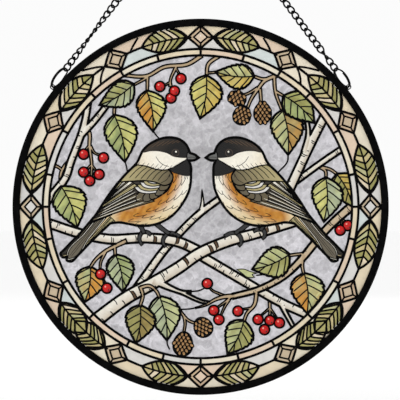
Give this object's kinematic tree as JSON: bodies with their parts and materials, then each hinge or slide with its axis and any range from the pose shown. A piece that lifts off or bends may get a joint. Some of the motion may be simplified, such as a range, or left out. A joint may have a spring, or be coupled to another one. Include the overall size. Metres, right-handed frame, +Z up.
{
  "type": "stained glass panel",
  "caption": "Round stained glass panel with songbirds on birch branches, a leaf and diamond border, a black metal frame and a hanging chain.",
  "frame": {"origin": "the point inside the top ring that rests on the hook, with the panel hanging plumb below it", "axes": "+Z up, against gravity; +X to the right and -Y out of the picture side, as the viewer sees the panel"},
  "size_m": [0.305, 0.0188, 0.4195],
  "materials": {
    "frame_metal": "satin black",
    "seam_metal": "black patina on solder",
    "chain_metal": "black oxide",
    "cream_glass": "streaky opal glass",
    "peach_glass": "streaky opal glass",
    "lilac_glass": "hammered cathedral glass",
    "bird_glass": "painted and fired glass"
  },
  "bodies": {
    "root": {"outer_frame": "frame_metal", "seam_net": "seam_metal", "border_glass": "cream_glass", "tile_ring_glass": "peach_glass", "background_glass": "lilac_glass", "left_bird_glass": "bird_glass", "right_bird_glass": "bird_glass", "left_split_ring": "chain_metal", "right_split_ring": "chain_metal", "left_chain": "chain_metal", "right_chain": "chain_metal", "top_ring": "chain_metal"}
  },
  "joints": []
}
